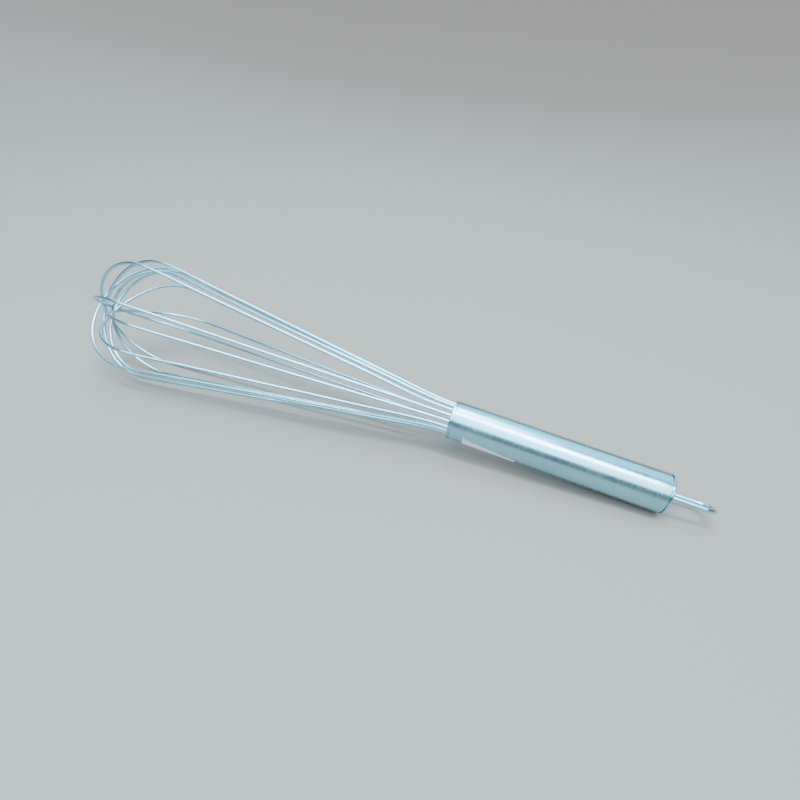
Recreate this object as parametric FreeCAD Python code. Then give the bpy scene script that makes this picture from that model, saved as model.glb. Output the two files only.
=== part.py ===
"""Balloon whisk: eight looped wires in a capped tube handle with a fixed hanging loop.

Millimetres. Handle frame: +X runs along the handle from its mouth to the hanging loop, the wires
lie at negative X, and azimuths turn from +Y toward +Z. The finished whisk is then laid on the
ground plane Z = 0, on its rear rim and its two lowest wires, with the origin under its centre.
"""
import os
import FreeCAD, Part
from FreeCAD import Vector
from math import atan2, cos, degrees, pi, radians, sin

# Handle tube
TUBE_RADIUS = 11.0
TUBE_WALL = 0.9
HANDLE_LENGTH = 118.7
EDGE_ROUND = 0.3
PLUG_CLEARANCE = 0.05

# Front cap, which the wires leave through
FRONT_FLANGE = 1.3
FRONT_PLUG_LENGTH = 8.0
FRONT_EDGE_ROUND = 0.35

# End cap, which the hanging loop leaves through
END_FLANGE = 1.1
END_PLUG_LENGTH = 6.0
END_DOME_ROUND = 0.7

# Balloon wires
WIRE_RADIUS = 0.9
WIRE_COUNT = 16
WIRE_CIRCLE_RADIUS = 8.75
WIRE_EMBEDDED = 24.0
WIRE_HOLE_CLEARANCE = 0.04
FIRST_HOLE_AZIMUTH = -3.5
FLARE_RADIUS = 110.0
FLARE_STEPS = 4
RUN_STEPS = 6
TIP_STEPS = 14
SECTION_STEPS = 60
POTTING_GAP = 0.3
POTTING_END = 28.0

# The balloon leans off the handle's axis, by so much per millimetre beyond the mouth.
LEAN_SIDEWAYS = -0.0106
LEAN_UP = -0.0124
LEAN_ONSET = 15.3

# Each loop: its two hole numbers, the azimuths of its two bellies, reach from the mouth to the
# tip crossing, and the angles at which its two straight runs spread from the axis.
LOOPS = [
    {"holes": (1, 9), "bellies": (40.0, 215.0), "reach": 242.5, "spreads": (8.12, 7.88)},
    {"holes": (5, 13), "bellies": (89.0, 278.9), "reach": 240.6, "spreads": (8.14, 8.12)},
    {"holes": (3, 11), "bellies": (64.3, 235.4), "reach": 238.7, "spreads": (8.37, 8.64)},
    {"holes": (6, 14), "bellies": (136.8, 322.4), "reach": 235.0, "spreads": (7.99, 7.99)},
    {"holes": (4, 12), "bellies": (52.9, 260.2), "reach": 232.9, "spreads": (6.93, 8.30)},
    {"holes": (2, 10), "bellies": (46.6, 225.4), "reach": 231.0, "spreads": (8.05, 7.82)},
    {"holes": (0, 8), "bellies": (24.4, 183.0), "reach": 229.1, "spreads": (6.81, 8.24)},
    {"holes": (7, 15), "bellies": (153.9, 339.2), "reach": 223.2, "spreads": (8.04, 8.13)},
]

# Hanging loop
BAIL_RADIUS = 1.3
BAIL_HALF_WIDTH = 7.0
BAIL_PROTRUSION = 24.8
BAIL_EMBEDDED = 9.0
BAIL_AZIMUTH = 149.5
BAIL_HOLE_CLEARANCE = 0.05
BAIL_ANCHOR_LENGTH = 4.0

# Blank label wrapped round the underside of the handle
LABEL_THICKNESS = 0.12
LABEL_GAP = 0.02
LABEL_START = 10.0
LABEL_LENGTH = 30.0
LABEL_AZIMUTH = 258.0
LABEL_WRAP = 110.0

# Search for the angle at which the whisk lies
STEEPEST_TILT = radians(15.0)
TILT_HALVINGS = 60

AXIS = Vector(1, 0, 0)
BORE_RADIUS = TUBE_RADIUS - TUBE_WALL
PLUG_RADIUS = BORE_RADIUS - PLUG_CLEARANCE


def polar(x, radius, azimuth):
    """A point at this distance along the handle, off its axis in this direction."""
    return Vector(x, radius * cos(azimuth), radius * sin(azimuth))


def rod(radius, start, end, centre=(0.0, 0.0)):
    """A cylinder along the handle."""
    return Part.makeCylinder(radius, end - start, Vector(start, centre[0], centre[1]), AXIS)


def rim_edges(shape, x, radius):
    """The full circles of this radius at this distance along the handle."""
    found = []
    for edge in shape.Edges:
        curve = edge.Curve
        if not isinstance(curve, Part.Circle):
            continue
        if abs(curve.Radius - radius) < 1e-4 and abs(curve.Center.x - x) < 1e-4:
            found.append(edge)
    return found


def hole_azimuth(number):
    return radians(FIRST_HOLE_AZIMUTH + number * 360.0 / WIRE_COUNT)


def leaned(point):
    """The point moved with the balloon's lean, which sets in gradually beyond the mouth."""
    beyond = -point.x
    if beyond < LEAN_ONSET:
        shift = beyond ** 2 / (2 * LEAN_ONSET)
    else:
        shift = beyond - LEAN_ONSET / 2
    return point + Vector(0, LEAN_SIDEWAYS * shift, LEAN_UP * shift)


def half_loop_points(loop, side):
    """Centreline points of one half loop, from the mouth to just short of the tip crossing."""
    hole = hole_azimuth(loop["holes"][side])
    belly = radians(loop["bellies"][side])
    plane = radians((loop["bellies"][0] + loop["bellies"][1] - 180.0) / 2 + 180.0 * side)
    spread = radians(loop["spreads"][side])
    points = []
    for step in range(FLARE_STEPS + 1):
        angle = spread * step / FLARE_STEPS
        radius = WIRE_CIRCLE_RADIUS + FLARE_RADIUS * (1 - cos(angle))
        points.append(polar(-FLARE_RADIUS * sin(angle), radius, hole))
    # the tip's arc is centred on the axis and touches the straight run
    run_length = loop["reach"] - FLARE_RADIUS * sin(spread)
    tip = (radius * cos(spread) + run_length * sin(spread)) / (1 + sin(spread))
    arc = []
    for step in range(TIP_STEPS):
        angle = (pi / 2 + spread) * (1 - step / TIP_STEPS)
        arc_radius = tip * sin(angle)
        azimuth = plane + (belly - plane) * arc_radius / tip
        arc.append(polar(tip - loop["reach"] - tip * cos(angle), arc_radius, azimuth))
    run_start = points[-1]
    run = arc[0] - run_start
    for step in range(1, RUN_STEPS):
        points.append(run_start + run * (step / RUN_STEPS))
    return points + arc


def loop_points(loop):
    """Centreline points of a whole loop, from one hole over the tip and back to the other."""
    first = half_loop_points(loop, 0)
    second = half_loop_points(loop, 1)
    second.reverse()
    points = first + [Vector(-loop["reach"], 0, 0)] + second
    return [leaned(point) for point in points]


def wire_loop(loop):
    """One looped wire: round sections along its curve, and straight ends inside the handle."""
    points = loop_points(loop)
    curve = Part.BSplineCurve()
    curve.interpolate(Points=points, InitialTangent=-AXIS, FinalTangent=AXIS, Scale=False)
    first = curve.FirstParameter
    last = curve.LastParameter
    sections = []
    for step in range(SECTION_STEPS + 1):
        station = first + (last - first) * step / SECTION_STEPS
        ring = Part.makeCircle(WIRE_RADIUS, curve.value(station), curve.tangent(station)[0])
        sections.append(Part.Wire([ring]))
    wire = Part.makeLoft(sections, True, False)
    for point in (points[0], points[-1]):
        wire = wire.fuse(rod(WIRE_RADIUS, 0, WIRE_EMBEDDED, (point.y, point.z)))
    return wire


def handle_tube():
    start = FRONT_FLANGE
    end = HANDLE_LENGTH - END_FLANGE
    tube = rod(TUBE_RADIUS, start, end).cut(rod(BORE_RADIUS, start, end))
    edges = rim_edges(tube, start, TUBE_RADIUS) + rim_edges(tube, end, TUBE_RADIUS)
    return tube.makeFillet(EDGE_ROUND, edges)


def wire_holes(start, end, clearance):
    """Cylinders along every wire's straight end."""
    holes = []
    for number in range(WIRE_COUNT):
        centre = polar(0, WIRE_CIRCLE_RADIUS, hole_azimuth(number))
        holes.append(rod(WIRE_RADIUS + clearance, start, end, (centre.y, centre.z)))
    return Part.makeCompound(holes)


def front_cap():
    """The plug in the handle's mouth, with a hole for every wire."""
    flange = rod(TUBE_RADIUS, 0, FRONT_FLANGE)
    flange = flange.makeFillet(FRONT_EDGE_ROUND, rim_edges(flange, 0, TUBE_RADIUS))
    plug = rod(PLUG_RADIUS, FRONT_FLANGE, FRONT_FLANGE + FRONT_PLUG_LENGTH)
    through = FRONT_FLANGE + FRONT_PLUG_LENGTH + 1
    return flange.fuse(plug).cut(wire_holes(-1, through, WIRE_HOLE_CLEARANCE))


def wire_potting():
    """The resin block that holds the wires' ends and seals the handle."""
    start = FRONT_FLANGE + FRONT_PLUG_LENGTH + POTTING_GAP
    block = rod(PLUG_RADIUS, start, POTTING_END)
    depth = WIRE_EMBEDDED + WIRE_HOLE_CLEARANCE
    return block.cut(wire_holes(start - 1, depth, WIRE_HOLE_CLEARANCE))


def bail_leg_centres():
    azimuth = radians(BAIL_AZIMUTH)
    return [polar(0, BAIL_HALF_WIDTH, azimuth), polar(0, BAIL_HALF_WIDTH, azimuth + pi)]


def bail_holes(start, end):
    holes = []
    for centre in bail_leg_centres():
        holes.append(rod(BAIL_RADIUS + BAIL_HOLE_CLEARANCE, start, end, (centre.y, centre.z)))
    return Part.makeCompound(holes)


def end_cap():
    """The plug in the handle's rear, with two holes for the hanging loop."""
    rim = HANDLE_LENGTH - END_FLANGE
    flange = rod(TUBE_RADIUS, rim, HANDLE_LENGTH)
    flange = flange.makeFillet(END_DOME_ROUND, rim_edges(flange, HANDLE_LENGTH, TUBE_RADIUS))
    plug = rod(PLUG_RADIUS, rim - END_PLUG_LENGTH, rim)
    holes = bail_holes(rim - END_PLUG_LENGTH - 1, HANDLE_LENGTH + 1)
    return flange.fuse(plug).cut(holes)


def bail_anchor():
    """The plate inside the handle that keeps the hanging loop's legs in."""
    end = HANDLE_LENGTH - END_FLANGE - END_PLUG_LENGTH - POTTING_GAP
    plate = rod(PLUG_RADIUS, end - BAIL_ANCHOR_LENGTH, end)
    depth = HANDLE_LENGTH - BAIL_EMBEDDED - BAIL_HOLE_CLEARANCE
    return plate.cut(bail_holes(depth, end + 1))


def hanging_loop():
    """A U of round wire whose two legs pass through the end cap."""
    legs = bail_leg_centres()
    inner = HANDLE_LENGTH - BAIL_EMBEDDED
    bend = HANDLE_LENGTH + BAIL_PROTRUSION - BAIL_RADIUS - BAIL_HALF_WIDTH
    first = legs[0] + AXIS * bend
    second = legs[1] + AXIS * bend
    top = AXIS * (bend + BAIL_HALF_WIDTH)
    path = Part.Wire([
        Part.makeLine(legs[0] + AXIS * inner, first),
        Part.Arc(first, top, second).toShape(),
        Part.makeLine(second, legs[1] + AXIS * inner),
    ])
    section = Part.Wire([Part.makeCircle(BAIL_RADIUS, legs[0] + AXIS * inner, AXIS)])
    return path.makePipeShell([section], True, False)


def label():
    """A blank sticker that follows the tube's curve."""
    inner = TUBE_RADIUS + LABEL_GAP
    outer = inner + LABEL_THICKNESS
    base = Part.makeCylinder(outer, LABEL_LENGTH, Vector(LABEL_START, 0, 0), AXIS, LABEL_WRAP)
    core = rod(inner, LABEL_START - 1, LABEL_START + LABEL_LENGTH + 1)
    sheet = base.cut(core).Solids[0]
    middle = sheet.CenterOfMass
    turn = LABEL_AZIMUTH - degrees(atan2(middle.z, middle.y))
    sheet.rotate(Vector(0, 0, 0), AXIS, turn)
    return sheet


def lowest(points, tilt):
    """The height of the lowest of these wire points, once the handle tips down by this angle."""
    return min(p.z * cos(tilt) - p.x * sin(tilt) for p in points) - WIRE_RADIUS


def resting_tilt(points):
    """The angle at which the wires and the handle's rear rim share one plane."""
    low = 0.0
    high = STEEPEST_TILT
    for _ in range(TILT_HALVINGS):
        tilt = (low + high) / 2
        rim = -TUBE_RADIUS * cos(tilt) - (HANDLE_LENGTH - END_DOME_ROUND) * sin(tilt)
        if lowest(points, tilt) < rim:
            low = tilt
        else:
            high = tilt
    return tilt


def main():
    parts = {}
    points = []
    for number, loop in enumerate(LOOPS, 1):
        parts["wire_loop_%d" % number] = wire_loop(loop)
        points += loop_points(loop)
    parts["handle_tube"] = handle_tube()
    parts["front_cap"] = front_cap()
    parts["wire_potting"] = wire_potting()
    parts["end_cap"] = end_cap()
    parts["bail_anchor"] = bail_anchor()
    parts["hanging_loop"] = hanging_loop()
    parts["label"] = label()

    tilt = resting_tilt(points)
    lie = (Vector(0, 0, 0), Vector(0, 1, 0), degrees(tilt))
    whole = Part.makeCompound(list(parts.values()))
    whole.rotate(*lie)
    box = whole.optimalBoundingBox(False, False)
    shift = Vector(-box.Center.x, -box.Center.y, -box.ZMin)
    print("tilt %.4f deg, shift %.4f %.4f %.4f" % (degrees(tilt), shift.x, shift.y, shift.z))

    os.makedirs("parts", exist_ok=True)
    for name, shape in parts.items():
        shape.rotate(*lie)
        shape.translate(shift)
        solid = shape.Solids[0]
        print("%-14s valid %s volume %.1f" % (name, solid.isValid(), solid.Volume))
        solid.exportStep("parts/%s.step" % name)


main()
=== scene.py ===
"""Looks for the balloon whisk: round wires, satin tube handle, capped ends, blank label."""
import math

import bpy
import numpy as np
from mathutils import Matrix, Vector


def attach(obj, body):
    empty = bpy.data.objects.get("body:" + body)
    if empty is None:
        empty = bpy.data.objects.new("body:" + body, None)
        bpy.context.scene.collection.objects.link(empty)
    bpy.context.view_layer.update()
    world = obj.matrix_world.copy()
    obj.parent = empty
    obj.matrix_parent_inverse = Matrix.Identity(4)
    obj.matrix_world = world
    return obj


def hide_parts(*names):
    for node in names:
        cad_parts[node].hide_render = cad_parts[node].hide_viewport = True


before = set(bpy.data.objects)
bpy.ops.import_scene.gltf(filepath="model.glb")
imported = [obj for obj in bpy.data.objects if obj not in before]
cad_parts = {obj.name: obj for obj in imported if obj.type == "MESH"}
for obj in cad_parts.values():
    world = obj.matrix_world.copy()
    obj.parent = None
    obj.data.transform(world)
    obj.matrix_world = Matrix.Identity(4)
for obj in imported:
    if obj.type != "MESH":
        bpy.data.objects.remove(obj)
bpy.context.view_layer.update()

MM = 0.001
AXIS = np.array([1.0, 0.0, 0.0])
TILT = math.radians(5.0291)
SHIFT = np.array([49.9060, 3.5524, 21.3085])

TUBE_RADIUS = 11.0
BORE_RADIUS = 10.1
HANDLE_LENGTH = 118.7
FRONT_FLANGE = 1.3
END_FLANGE = 1.1
TUBE_SIDES = 192
TUBE_RINGS = 18
RING_MARGIN = 6.0                          # from the tube's end to its first ring
TUBE_SHARP_ANGLE = 50.0

WIRE_RADIUS = 0.9
WIRE_SIDES = 20
WIRE_STEPS = 7                             # points of a wire's path from one knot to the next
WIRE_CIRCLE_RADIUS = 8.75
WIRE_EMBEDDED = 24.0
EMBEDDED_POINTS = 5
FIRST_HOLE_AZIMUTH = -3.5
HOLE_PITCH = 22.5
FLARE_RADIUS = 110.0
FLARE_STEPS = 4
RUN_STEPS = 6
TIP_STEPS = 14

LEAN_SIDEWAYS = -0.0106
LEAN_UP = -0.0124
LEAN_ONSET = 15.3

ROD_REFERENCE = (0.31, 0.52, 0.79)         # any direction that no rod starts along

# hole numbers, belly azimuths, reach and spreads of each loop
LOOPS = [
    ((1, 9), (40.0, 215.0), 242.5, (8.12, 7.88)),
    ((5, 13), (89.0, 278.9), 240.6, (8.14, 8.12)),
    ((3, 11), (64.3, 235.4), 238.7, (8.37, 8.64)),
    ((6, 14), (136.8, 322.4), 235.0, (7.99, 7.99)),
    ((4, 12), (52.9, 260.2), 232.9, (6.93, 8.30)),
    ((2, 10), (46.6, 225.4), 231.0, (8.05, 7.82)),
    ((0, 8), (24.4, 183.0), 229.1, (6.81, 8.24)),
    ((7, 15), (153.9, 339.2), 223.2, (8.04, 8.13)),
]

BAIL_RADIUS = 1.3
BAIL_SIDES = 32
BAIL_LEG_POINTS = 8
BAIL_BEND_POINTS = 33
BAIL_HALF_WIDTH = 7.0
BAIL_PROTRUSION = 24.8
BAIL_EMBEDDED = 9.0
BAIL_AZIMUTH = math.radians(149.5)

LABEL_START = 10.0
LABEL_LENGTH = 30.0
LABEL_FROM = math.radians(194.0)
LABEL_TO = math.radians(300.0)
LABEL_SKEW = math.radians(18.0)
LABEL_INNER, LABEL_OUTER = 0.03, 0.16      # gaps from the tube to the label's two faces
LABEL_PEEL = 0.9                           # lift of the loose front corner
PEEL_ALONG, PEEL_AROUND = 0.35, 0.12       # how much of the label's sides the loose corner takes
LABEL_RIPPLE = 0.03
RIPPLE_ALONG, RIPPLE_AROUND = 9, 5

EDGE_ROUND = 0.4
SEAM = 0.4                                 # open line between the tube and each cap


# ---------------------------------------------------------------- geometry helpers

def to_frame(points):
    """Handle-frame millimetres to the part's own frame in metres."""
    points = np.asarray(points, float)
    x = points[:, 0] * math.cos(TILT) + points[:, 2] * math.sin(TILT)
    z = points[:, 2] * math.cos(TILT) - points[:, 0] * math.sin(TILT)
    return (np.column_stack([x, points[:, 1], z]) + SHIFT) * MM


def polar(x, radius, azimuth):
    return np.array([x, radius * math.cos(azimuth), radius * math.sin(azimuth)])


def half_loop(loop, side):
    """Knots of one half loop, from the mouth to just short of the tip crossing."""
    holes, bellies, reach, spreads = loop
    hole = math.radians(FIRST_HOLE_AZIMUTH + HOLE_PITCH * holes[side])
    belly = math.radians(bellies[side])
    plane = math.radians((bellies[0] + bellies[1] - 180.0) / 2 + 180.0 * side)
    spread = math.radians(spreads[side])
    knots = []
    for step in range(FLARE_STEPS + 1):
        angle = spread * step / FLARE_STEPS
        radius = WIRE_CIRCLE_RADIUS + FLARE_RADIUS * (1 - math.cos(angle))
        knots.append(polar(-FLARE_RADIUS * math.sin(angle), radius, hole))
    run_length = reach - FLARE_RADIUS * math.sin(spread)
    tip = (radius * math.cos(spread) + run_length * math.sin(spread)) / (1 + math.sin(spread))
    arc = []
    for step in range(TIP_STEPS):
        angle = (math.pi / 2 + spread) * (1 - step / TIP_STEPS)
        arc_radius = tip * math.sin(angle)
        azimuth = plane + (belly - plane) * arc_radius / tip
        arc.append(polar(tip - reach - tip * math.cos(angle), arc_radius, azimuth))
    run_start = knots[-1]
    for step in range(1, RUN_STEPS):
        knots.append(run_start + (arc[0] - run_start) * step / RUN_STEPS)
    return knots + arc


def leaned(point):
    """The point moved with the balloon's lean, which sets in gradually beyond the mouth."""
    beyond = -point[0]
    shift = beyond ** 2 / (2 * LEAN_ONSET) if beyond < LEAN_ONSET else beyond - LEAN_ONSET / 2
    return point + np.array([0.0, LEAN_SIDEWAYS * shift, LEAN_UP * shift])


def spline(knots, first_slope, last_slope, steps):
    """Points of the clamped cubic spline through these knots."""
    knots = np.array(knots)
    length = np.linalg.norm(np.diff(knots, axis=0), axis=1)
    count = len(knots)
    system = np.zeros((count, count))
    right = np.zeros((count, 3))
    system[0, 0] = system[-1, -1] = 1.0
    right[0], right[-1] = first_slope, last_slope
    for i in range(1, count - 1):
        before, after = length[i - 1], length[i]
        system[i, i - 1:i + 2] = after, 2 * (before + after), before
        chord_before = (knots[i] - knots[i - 1]) / before
        chord_after = (knots[i + 1] - knots[i]) / after
        right[i] = 3 * (after * chord_before + before * chord_after)
    slopes = np.linalg.solve(system, right)
    points = []
    for i in range(count - 1):
        for step in range(steps):
            t = step / steps
            points.append(
                (2 * t ** 3 - 3 * t ** 2 + 1) * knots[i] + (t ** 3 - 2 * t ** 2 + t) * length[i] * slopes[i]
                + (3 * t ** 2 - 2 * t ** 3) * knots[i + 1] + (t ** 3 - t ** 2) * length[i] * slopes[i + 1])
    points.append(knots[-1])
    return np.array(points)


def add_object(name, vertices, faces, material, sharp=35.0):
    """A mesh object from handle-frame vertices, smooth but for its sharp edges."""
    mesh = bpy.data.meshes.new(name)
    mesh.from_pydata([tuple(v) for v in to_frame(vertices)], [], faces)
    mesh.validate()
    mesh.shade_smooth()
    mesh.set_sharp_from_angle(angle=math.radians(sharp))
    mesh.materials.append(material)
    made = bpy.data.objects.new(name, mesh)
    bpy.context.scene.collection.objects.link(made)
    return made


def rod_mesh(path, radius, sides):
    """Vertices and faces of a round rod along a path, with flat closed ends."""
    path = np.asarray(path, float)
    tangents = np.gradient(path, axis=0)
    tangents /= np.linalg.norm(tangents, axis=1)[:, None]
    side = np.cross(tangents[0], ROD_REFERENCE)
    side /= np.linalg.norm(side)
    vertices, faces = [], []
    angles = np.linspace(0, 2 * math.pi, sides, endpoint=False)
    for point, tangent in zip(path, tangents):
        side = side - tangent * (side @ tangent)
        side /= np.linalg.norm(side)
        other = np.cross(tangent, side)
        for angle in angles:
            vertices.append(point + radius * (math.cos(angle) * side + math.sin(angle) * other))
    for i in range(len(path) - 1):
        for k in range(sides):
            a, b = i * sides + k, i * sides + (k + 1) % sides
            faces.append((a, b, b + sides, a + sides))
    faces.append(tuple(range(sides))[::-1])
    faces.append(tuple(range((len(path) - 1) * sides, len(path) * sides)))
    return vertices, faces


def lathe(profile, sides):
    """Vertices and faces of a closed (x, radius) profile turned about the handle's axis."""
    vertices, faces = [], []
    for k in range(sides):
        azimuth = 2 * math.pi * k / sides
        for x, radius in profile:
            vertices.append(polar(x, radius, azimuth))
    count = len(profile)
    for k in range(sides):
        for i in range(count):
            a, b = k * count + i, k * count + (i + 1) % count
            c, d = ((k + 1) % sides) * count + (i + 1) % count, ((k + 1) % sides) * count + i
            faces.append((a, b, c, d))
    return vertices, faces


def rounded(x, radius, start, end, size, steps=6):
    """Points of a quarter-round edge about (x, radius), between two angles in degrees."""
    points = []
    for step in range(steps + 1):
        angle = math.radians(start + (end - start) * step / steps)
        points.append((x + size * math.cos(angle), radius + size * math.sin(angle)))
    return points


# ---------------------------------------------------------------- materials

GRAIN_DETAIL, GRAIN_CONTRAST = 4.0, 0.6
CLOUD_SCALE, CLOUD_DETAIL = 46.0, 5.0
GRAIN_SHARE = 0.45                         # the rest of the unevenness is clouds
SMOOTHEST, ROUGHEST = 0.6, 1.5             # of a steel's roughness
DARKER_STEEL = 0.868
PLAIN_DETAIL = 6.0


def socket(node, name, value):
    node.inputs[name].default_value = value


def noise(nodes, scale, detail):
    texture = nodes.new("ShaderNodeTexNoise")
    socket(texture, "Scale", scale)
    socket(texture, "Detail", detail)
    return texture


def two_shades(nodes, links, factor, darker, lighter, shader):
    """Base colour that runs between two shades of one colour."""
    shade = nodes.new("ShaderNodeMix")
    shade.data_type = "RGBA"
    shade.inputs["A"].default_value = (*darker, 1.0)
    shade.inputs["B"].default_value = (*lighter, 1.0)
    links.new(factor, shade.inputs["Factor"])
    links.new(shade.outputs["Result"], shader.inputs["Base Color"])


def add_relief(nodes, links, height, strength, distance, shader):
    relief = nodes.new("ShaderNodeBump")
    socket(relief, "Strength", strength)
    socket(relief, "Distance", distance)
    links.new(height, relief.inputs["Height"])
    links.new(relief.outputs["Normal"], shader.inputs["Normal"])


def new_material(name):
    material = bpy.data.materials.new(name)
    material.use_nodes = True
    tree = material.node_tree
    return material, tree.nodes, tree.links, tree.nodes["Principled BSDF"]


def steel(name, colour, roughness, grain, stretch, bump):
    """Bare steel with a drawn or brushed grain, cloudy roughness and faint handling marks."""
    material, nodes, links, shader = new_material(name)
    socket(shader, "Metallic", 1.0)
    where = nodes.new("ShaderNodeTexCoord")
    turned = nodes.new("ShaderNodeMapping")
    socket(turned, "Rotation", (0.0, TILT, 0.0))
    links.new(where.outputs["Object"], turned.inputs["Vector"])
    stretched = nodes.new("ShaderNodeMapping")
    socket(stretched, "Scale", stretch)
    links.new(turned.outputs["Vector"], stretched.inputs["Vector"])

    lines = noise(nodes, grain, GRAIN_DETAIL)
    socket(lines, "Roughness", GRAIN_CONTRAST)
    links.new(stretched.outputs["Vector"], lines.inputs["Vector"])
    clouds = noise(nodes, CLOUD_SCALE, CLOUD_DETAIL)
    links.new(turned.outputs["Vector"], clouds.inputs["Vector"])
    cloud_part = nodes.new("ShaderNodeMath")
    cloud_part.operation = "MULTIPLY"
    cloud_part.inputs[1].default_value = 1.0 - GRAIN_SHARE
    links.new(clouds.outputs["Fac"], cloud_part.inputs[0])
    both = nodes.new("ShaderNodeMath")
    both.operation = "MULTIPLY_ADD"
    both.inputs[1].default_value = GRAIN_SHARE
    links.new(lines.outputs["Fac"], both.inputs[0])
    links.new(cloud_part.outputs[0], both.inputs[2])

    rough = nodes.new("ShaderNodeMapRange")
    socket(rough, "From Min", 0.3)
    socket(rough, "From Max", 0.7)
    socket(rough, "To Min", roughness * SMOOTHEST)
    socket(rough, "To Max", roughness * ROUGHEST)
    links.new(both.outputs[0], rough.inputs["Value"])
    links.new(rough.outputs["Result"], shader.inputs["Roughness"])
    spread = nodes.new("ShaderNodeMapRange")
    socket(spread, "From Min", 0.32)
    socket(spread, "From Max", 0.62)
    links.new(both.outputs[0], spread.inputs["Value"])
    darker = tuple(c * DARKER_STEEL for c in colour)
    two_shades(nodes, links, spread.outputs["Result"], darker, colour, shader)
    add_relief(nodes, links, lines.outputs["Fac"], 0.35, bump, shader)
    return material


def plain(name, colour, roughness, grain=300.0, bump=0.00002, variation=0.06):
    """Paper, resin and floor: a dull surface with a little unevenness."""
    material, nodes, links, shader = new_material(name)
    where = nodes.new("ShaderNodeTexCoord")
    speckle = noise(nodes, grain, PLAIN_DETAIL)
    links.new(where.outputs["Object"], speckle.inputs["Vector"])
    darker = tuple(c * (1 - variation) for c in colour)
    two_shades(nodes, links, speckle.outputs["Fac"], darker, colour, shader)
    rough = nodes.new("ShaderNodeMapRange")
    socket(rough, "To Min", roughness * 0.9)
    socket(rough, "To Max", min(1.0, roughness * 1.1))
    links.new(speckle.outputs["Fac"], rough.inputs["Value"])
    links.new(rough.outputs["Result"], shader.inputs["Roughness"])
    add_relief(nodes, links, speckle.outputs["Fac"], 0.3, bump, shader)
    return material


# stretch of the grain: along the handle for drawn wire, round it for the brushed tube
DRAWN = (0.05, 1.0, 1.0)
BRUSHED_ROUND = (1.0, 0.03, 0.03)
TURNED = (1.0, 0.1, 0.1)
UNSTRETCHED = (1.0, 1.0, 1.0)

wire_steel = steel("wire_steel", (0.38, 0.69, 0.83), 0.18, 1400.0, DRAWN, 0.000004)
handle_steel = steel("handle_steel", (0.33, 0.61, 0.75), 0.25, 2200.0, BRUSHED_ROUND, 0.000025)
cap_steel = steel("cap_steel", (0.38, 0.65, 0.78), 0.22, 1500.0, TURNED, 0.000003)
bail_steel = steel("bail_steel", (0.40, 0.70, 0.84), 0.17, 1400.0, DRAWN, 0.000004)
anchor_steel = steel("anchor_steel", (0.55, 0.57, 0.60), 0.4, 700.0, UNSTRETCHED, 0.00002)
resin = plain("potting_resin", (0.30, 0.29, 0.26), 0.55)
paper = plain("label_paper", (0.97, 0.88, 0.90), 0.55, grain=900.0)

# ---------------------------------------------------------------- pieces


def finish_piece(piece, node):
    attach(piece, "root")
    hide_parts(node)


for number, loop in enumerate(LOOPS, 1):
    far_half = half_loop(loop, 1)
    far_half.reverse()
    knots = half_loop(loop, 0) + [np.array([-loop[2], 0.0, 0.0])] + far_half
    path = spline([leaned(knot) for knot in knots], -AXIS, AXIS, WIRE_STEPS)
    embedded = np.linspace(WIRE_EMBEDDED, 0.0, EMBEDDED_POINTS)[:-1]
    first = [path[0] + AXIS * depth for depth in embedded]
    last = [path[-1] + AXIS * depth for depth in embedded[::-1]]
    path = np.array(first + list(path) + last)
    piece = add_object("loop_wire_%d" % number, *rod_mesh(path, WIRE_RADIUS, WIRE_SIDES), wire_steel)
    finish_piece(piece, "wire_loop_%d" % number)

# handle tube: outer skin, rounded ends and bore
start, end = FRONT_FLANGE + SEAM, HANDLE_LENGTH - END_FLANGE - SEAM
outer = rounded(start + EDGE_ROUND, TUBE_RADIUS - EDGE_ROUND, 180, 90, EDGE_ROUND)
for x in np.linspace(start + RING_MARGIN, end - RING_MARGIN, TUBE_RINGS):
    outer.append((float(x), TUBE_RADIUS))
outer += rounded(end - EDGE_ROUND, TUBE_RADIUS - EDGE_ROUND, 90, 0, EDGE_ROUND)
profile = outer + [(end, BORE_RADIUS), (start, BORE_RADIUS)]
tube = add_object("tube", *lathe(profile, TUBE_SIDES), handle_steel, TUBE_SHARP_ANGLE)
finish_piece(tube, "handle_tube")

# hanging loop
leg_side = polar(0.0, BAIL_HALF_WIDTH, BAIL_AZIMUTH)
bend = HANDLE_LENGTH + BAIL_PROTRUSION - BAIL_RADIUS - BAIL_HALF_WIDTH
path = []
for x in np.linspace(HANDLE_LENGTH - BAIL_EMBEDDED, bend, BAIL_LEG_POINTS)[:-1]:
    path.append(AXIS * x + leg_side)
for angle in np.linspace(0, math.pi, BAIL_BEND_POINTS):
    path.append(AXIS * (bend + BAIL_HALF_WIDTH * math.sin(angle)) + leg_side * math.cos(angle))
for x in np.linspace(bend, HANDLE_LENGTH - BAIL_EMBEDDED, BAIL_LEG_POINTS)[1:]:
    path.append(AXIS * x - leg_side)
bail = add_object("bail_wire", *rod_mesh(path, BAIL_RADIUS, BAIL_SIDES), bail_steel)
finish_piece(bail, "hanging_loop")

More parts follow.
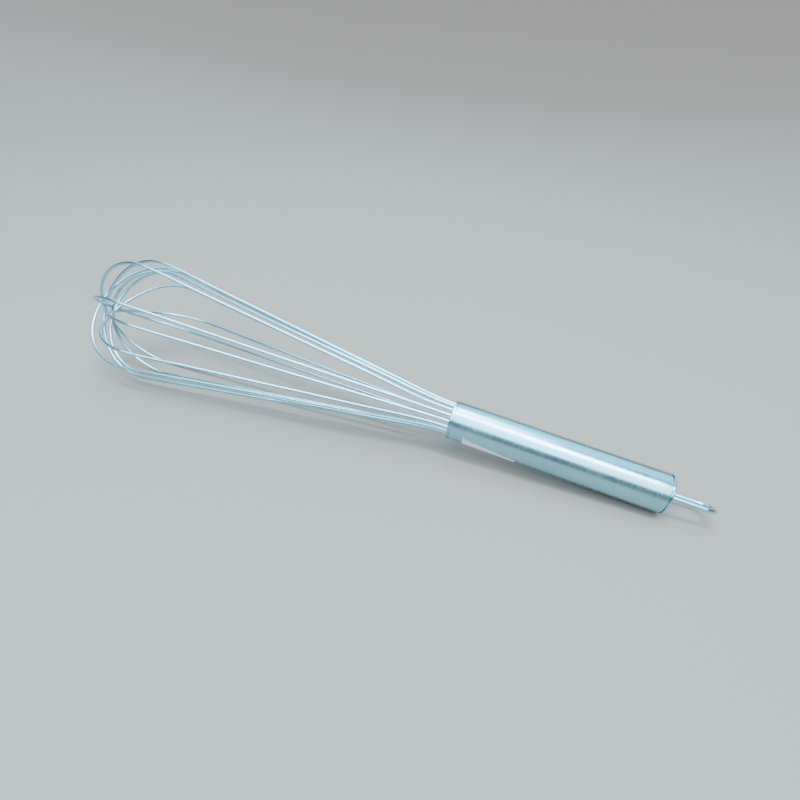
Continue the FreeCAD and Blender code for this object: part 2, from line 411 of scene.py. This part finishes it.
# blank label, put on a little askew with its front corner lifting
ALONG, AROUND = 30, 44
vertices, faces = [], []
for lift in (LABEL_OUTER, LABEL_INNER):
    for i in range(ALONG + 1):
        for k in range(AROUND + 1):
            along, around = i / ALONG, k / AROUND
            azimuth = LABEL_FROM + (LABEL_TO - LABEL_FROM) * around + LABEL_SKEW * along
            peel = LABEL_PEEL * max(0.0, 1 - along / PEEL_ALONG - around / PEEL_AROUND) ** 2
            ripple = max(0, LABEL_RIPPLE * math.sin(RIPPLE_ALONG * along + RIPPLE_AROUND * around))
            radius = TUBE_RADIUS + lift + peel + ripple
            vertices.append(polar(LABEL_START + LABEL_LENGTH * along, radius, azimuth))
row, layer = AROUND + 1, (ALONG + 1) * (AROUND + 1)
for i in range(ALONG):
    for k in range(AROUND):
        a = i * row + k
        faces.append((a, a + 1, a + row + 1, a + row))
        faces.append((a + layer, a + row + layer, a + row + 1 + layer, a + 1 + layer))
for i in range(ALONG):
    a, b = i * row, i * row + AROUND
    faces.append((a, a + row, a + row + layer, a + layer))
    faces.append((b, b + layer, b + row + layer, b + row))
for k in range(AROUND):
    a, b = k, ALONG * row + k
    faces.append((a, a + layer, a + 1 + layer, a + 1))
    faces.append((b, b + 1, b + 1 + layer, b + layer))
sticker = add_object("blank_label", vertices, faces, paper)
finish_piece(sticker, "label")

# nodes that keep their CAD shape
KEPT_NODES = {
    "front_cap": cap_steel,
    "end_cap": cap_steel,
    "wire_potting": resin,
    "bail_anchor": anchor_steel,
}
for node, material in KEPT_NODES.items():
    for slot_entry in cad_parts[node].material_slots:
        slot_entry.material = material

# ---------------------------------------------------------------- stage

# a round pale floor that curves up into a wall on every side, in metres
INNER_RADIUS, FLAT_RADIUS, COVE_RADIUS, WALL_TOP = 0.25, 1.0, 2.6, 3.4
COVE_STEPS, SECTORS = 24, 144
section = [(INNER_RADIUS, 0.0), (FLAT_RADIUS, 0.0)]
for step in range(1, COVE_STEPS + 1):
    angle = math.pi / 2 * step / COVE_STEPS
    section.append((FLAT_RADIUS + COVE_RADIUS * math.sin(angle), COVE_RADIUS * (1 - math.cos(angle))))
section.append((FLAT_RADIUS + COVE_RADIUS, WALL_TOP))
vertices, faces = [(0.0, 0.0, 0.0)], []
for radius, z in section:
    for k in range(SECTORS):
        azimuth = 2 * math.pi * k / SECTORS
        vertices.append((radius * math.cos(azimuth), radius * math.sin(azimuth), z))
for k in range(SECTORS):
    following = (k + 1) % SECTORS
    faces.append((0, 1 + k, 1 + following))
    for ring in range(len(section) - 1):
        inner, outer = 1 + ring * SECTORS, 1 + (ring + 1) * SECTORS
        faces.append((inner + k, outer + k, outer + following, inner + following))
floor_paint = plain("floor_paint", (0.29, 0.208, 0.182), 0.75, grain=4.0, bump=0.0, variation=0.02)
floor_mesh = bpy.data.meshes.new("floor")
floor_mesh.from_pydata(vertices, [], faces)
floor_mesh.shade_smooth()
floor_mesh.materials.append(floor_paint)
floor = bpy.data.objects.new("floor", floor_mesh)
bpy.context.scene.collection.objects.link(floor)


def area_light(name, position, target, size, power, colour):
    data = bpy.data.lights.new(name, "AREA")
    data.shape = "RECTANGLE"
    data.size, data.size_y = size
    data.energy = power
    data.color = colour
    lamp = bpy.data.objects.new(name, data)
    lamp.location = position
    lamp.rotation_euler = (Vector(target) - Vector(position)).to_track_quat("-Z", "Y").to_euler()
    bpy.context.scene.collection.objects.link(lamp)


# cool lights over a warm floor, so that the floor looks neutral and the steel cool
OBJECT_CENTRE = (0, 0, 0.02)
area_light("softbox", (0.05, -0.58, 0.93), OBJECT_CENTRE, (1.9, 1.0), 36.0, (0.52, 0.88, 1.0))
area_light("back_panel", (-0.1, 0.78, 1.00), OBJECT_CENTRE, (2.6, 1.25), 26.0, (0.34, 0.80, 1.0))

# three lights high up wash the wall behind, to the right and to the left
WASH_HEIGHT, WASH_BEHIND = Vector((0, 0, 3.1)), 0.4
WASH_TARGET_HEIGHT, WASH_TARGET_OUT = Vector((0, 0, 1.2)), 3.0
WASHES = (("wash_back", 90, 210.0), ("wash_right", -30, 105.0), ("wash_left", -150, 105.0))
for name, azimuth, power in WASHES:
    outward = Vector((math.cos(math.radians(azimuth)), math.sin(math.radians(azimuth)), 0.0))
    position = WASH_HEIGHT - outward * WASH_BEHIND
    target = outward * WASH_TARGET_OUT + WASH_TARGET_HEIGHT
    area_light(name, position, target, (3.2, 1.0), power, (0.62, 0.90, 1.0))

world = bpy.data.worlds.new("soft_room")
world.use_nodes = True
background = world.node_tree.nodes["Background"]
background.inputs["Color"].default_value = (0.50, 0.62, 0.70, 1.0)
background.inputs["Strength"].default_value = 0.5
bpy.context.scene.world = world

# camera at the photograph's angle
camera_data = bpy.data.cameras.new("camera")
camera_data.lens = 21.563
camera_data.sensor_width = 36.0
camera_data.clip_start = 0.01
camera = bpy.data.objects.new("camera", camera_data)
eye = Vector((0.08416, -0.21134, 0.18777))
right = Vector((0.938, 0.3394, 0.07042))
up = Vector((-0.25391, 0.53446, 0.80615))
forward = Vector((-0.23598, 0.77405, -0.5875))
turn = Matrix((right, up, -forward)).transposed()
camera.matrix_world = Matrix.Translation(eye) @ turn.to_4x4()
bpy.context.scene.collection.objects.link(camera)
bpy.context.scene.camera = camera
